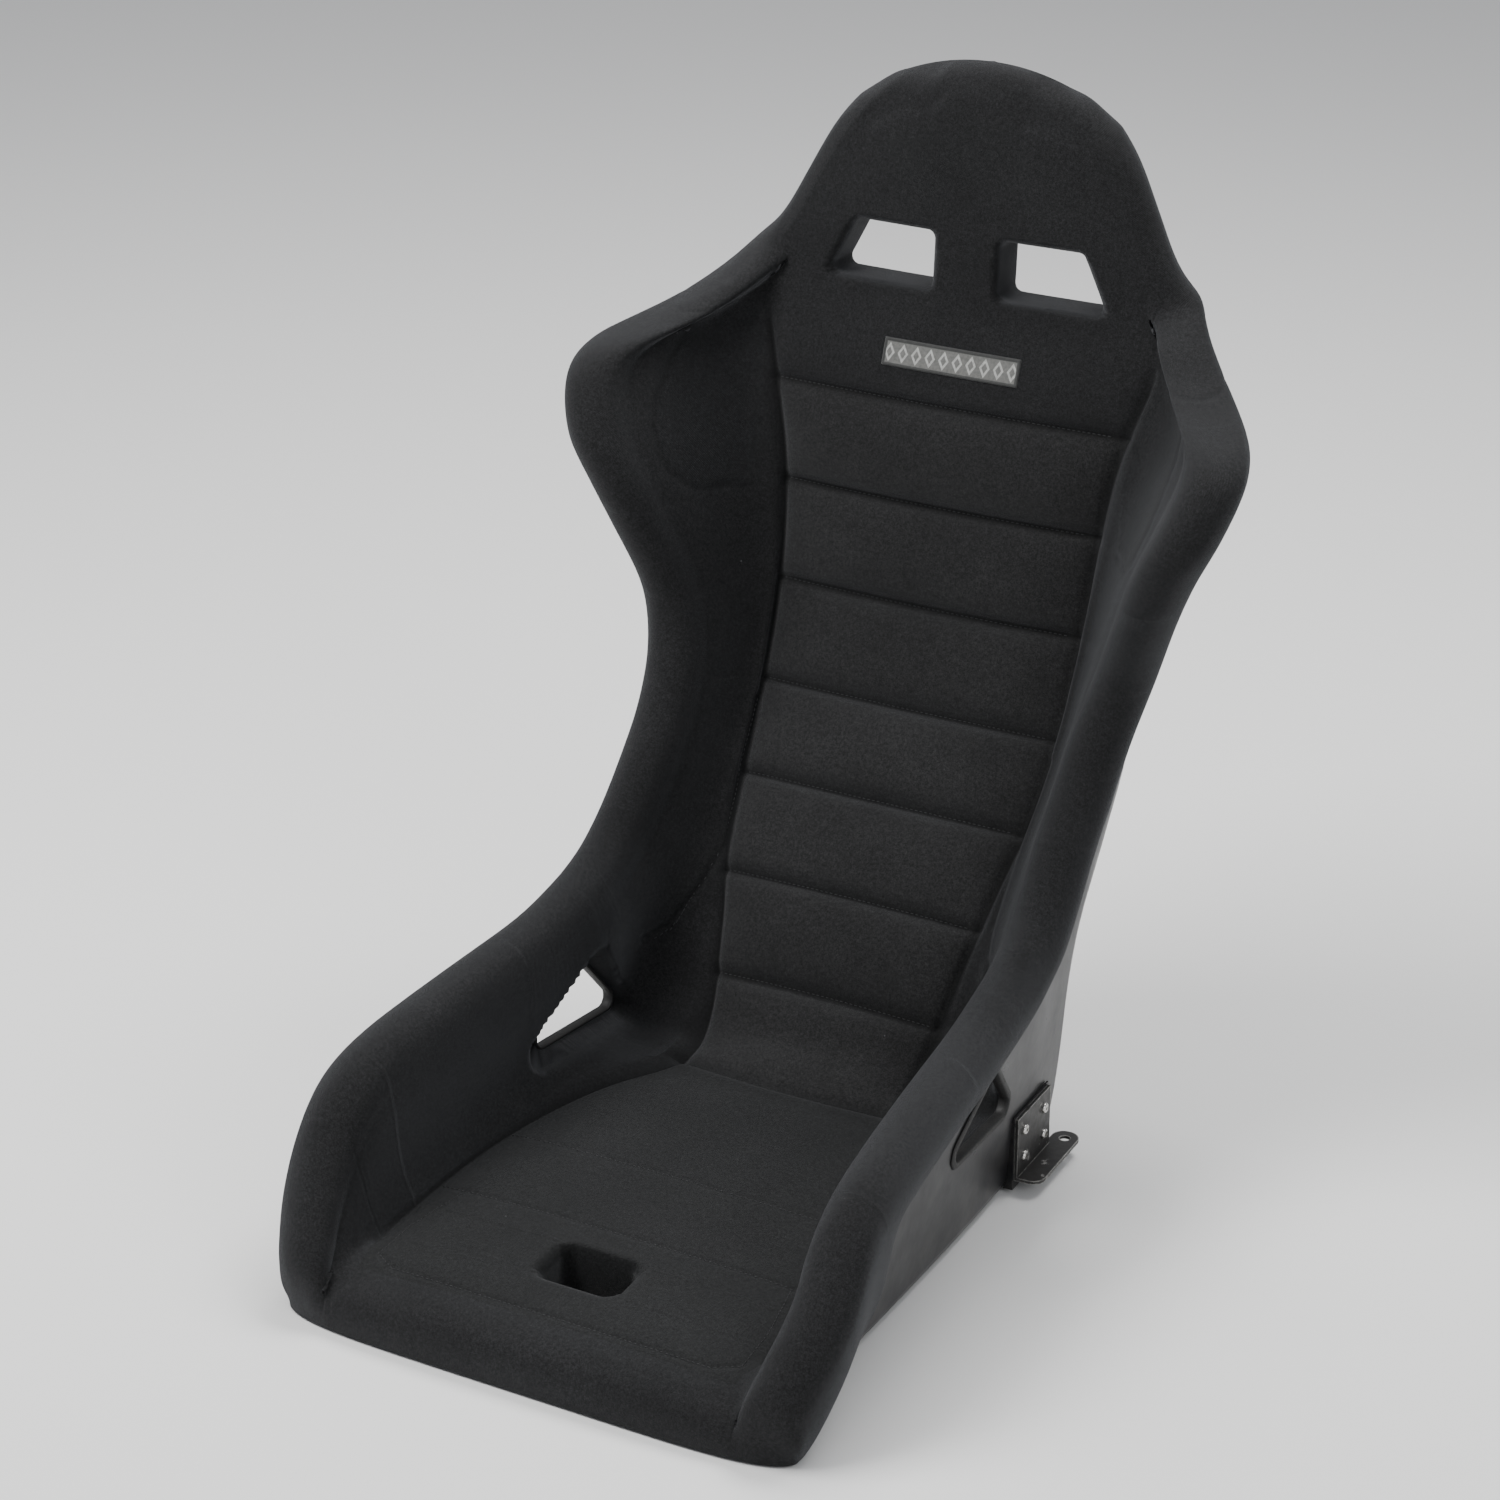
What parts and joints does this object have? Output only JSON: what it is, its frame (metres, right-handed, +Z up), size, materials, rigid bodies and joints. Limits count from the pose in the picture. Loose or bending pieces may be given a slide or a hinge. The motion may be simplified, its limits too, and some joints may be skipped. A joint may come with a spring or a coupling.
{
  "type": "racing seat",
  "caption": "Fixed-back racing bucket seat: glossy shell, padded side bolsters, channelled back, harness openings and side mounting brackets.",
  "frame": {"origin": "middle of the seat's bounding box in plan, at the level of the shell's flat underside", "axes": "+Z up, -Y to the front of the seat, +X to the seat's right as seen from the front, which is the occupant's left"},
  "size_m": [0.5968, 0.7522, 0.8363],
  "materials": {
    "gelcoat_shell": "glossy black gelcoat over fibreglass",
    "cushion_fabric": "plain matte black knitted cloth",
    "channel_fabric": "matte black cloth sewn into horizontal puffed channels",
    "bolster_fabric": "matte black cloth pulled tight over foam, with a soft sheen",
    "panel_fabric": "flat sewn-in black mesh cloth",
    "trim_rubber": "matte black edging",
    "bracket_steel": "thin dark coating worn to bare metal at the edges",
    "plate_steel": "bare steel plate",
    "zinc_fastener": "bright zinc plate",
    "insert_steel": "zinc-plated steel",
    "woven_patch": "grey woven cloth with a dark sewn border"
  },
  "bodies": {
    "root": {"shell": "gelcoat_shell", "seat_cushion": "cushion_fabric", "back_insert": "channel_fabric", "thigh_bolster_right": "bolster_fabric", "thigh_bolster_left": "bolster_fabric", "torso_bolster_right": "bolster_fabric", "torso_bolster_left": "bolster_fabric", "shoulder_pad_right": "bolster_fabric", "shoulder_pad_left": "bolster_fabric", "head_pad": "bolster_fabric", "neck_pad": "bolster_fabric", "crown_roll": "bolster_fabric", "front_roll": "bolster_fabric", "shoulder_panel_right": "panel_fabric", "shoulder_panel_left": "panel_fabric", "lap_trim_right": "trim_rubber", "lap_trim_left": "trim_rubber", "harness_trim_right": "trim_rubber", "harness_trim_left": "trim_rubber", "crotch_trim": "trim_rubber", "bracket_right": "bracket_steel", "bracket_left": "bracket_steel", "backing_plate_right": "plate_steel", "backing_plate_left": "plate_steel", "bracket_bolts": "zinc_fastener", "bracket_nuts": "zinc_fastener", "floor_inserts": "insert_steel", "label_patch": "woven_patch"}
  },
  "joints": []
}
